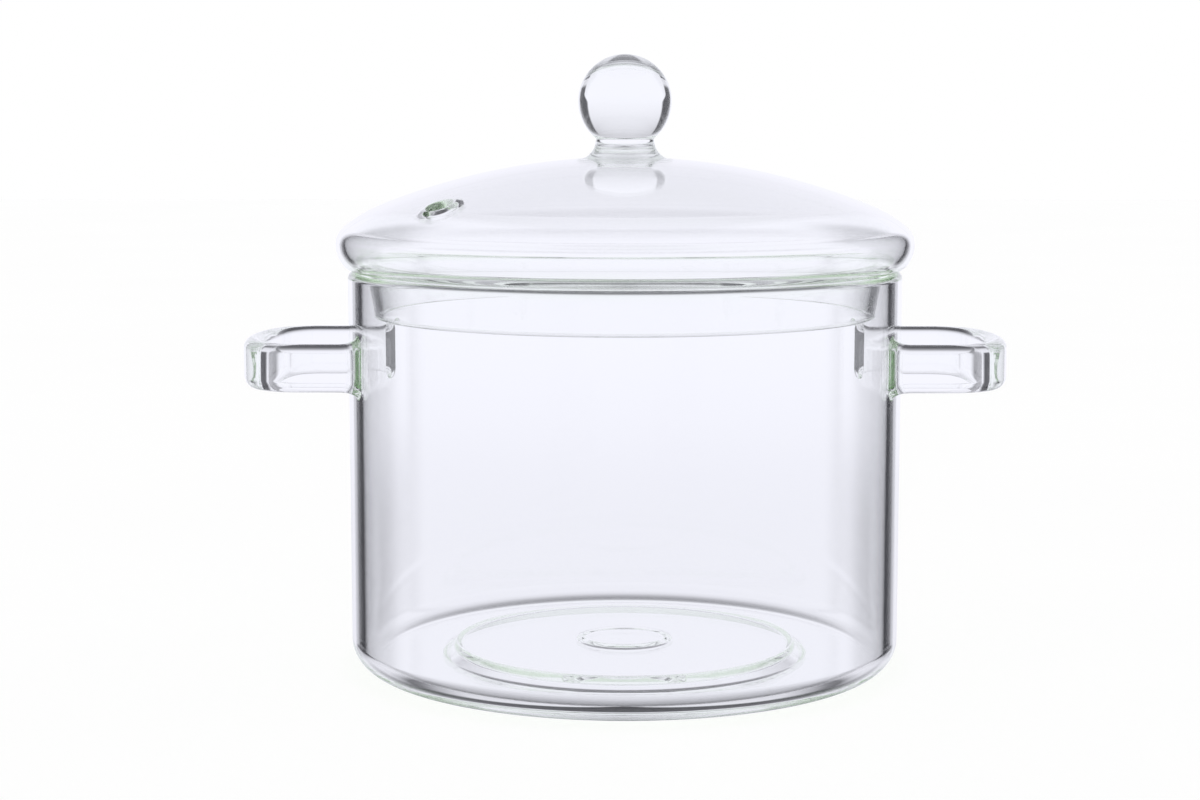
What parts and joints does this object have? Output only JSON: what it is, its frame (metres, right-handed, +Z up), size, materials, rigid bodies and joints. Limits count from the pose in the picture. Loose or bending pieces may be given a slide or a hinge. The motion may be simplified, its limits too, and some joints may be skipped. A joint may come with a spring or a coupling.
{
  "type": "glass saucepan with lid",
  "caption": "Clear glass saucepan with a straight wall, side loop handles and a lift-off domed glass lid with a ball knob and a steam vent.",
  "frame": {"origin": "on the pot's axis, in the plane that the pot stands on", "axes": "+Z up along the pot's axis, +X from the pot's axis to the right handle, -Y towards the viewer of the picture"},
  "size_m": [0.207, 0.1564, 0.1665],
  "materials": {
    "pot_glass": "clear polished borosilicate glass",
    "handle_glass": "clear polished borosilicate glass",
    "lid_glass": "clear polished borosilicate glass",
    "knob_glass": "clear polished borosilicate glass"
  },
  "bodies": {
    "pot": {"pot_body": "pot_glass", "left_handle_loop": "handle_glass", "right_handle_loop": "handle_glass", "left_handle_front_foot": "handle_glass", "left_handle_rear_foot": "handle_glass", "right_handle_front_foot": "handle_glass", "right_handle_rear_foot": "handle_glass"},
    "lid": {"lid_shell": "lid_glass", "knob_neck": "knob_glass", "knob_ball": "knob_glass"}
  },
  "joints": [
    {"name": "lid_lift", "type": "slide", "parent": "pot", "child": "lid", "axis": [0, 0, 1], "range_m": [0, 0.05]}
  ]
}
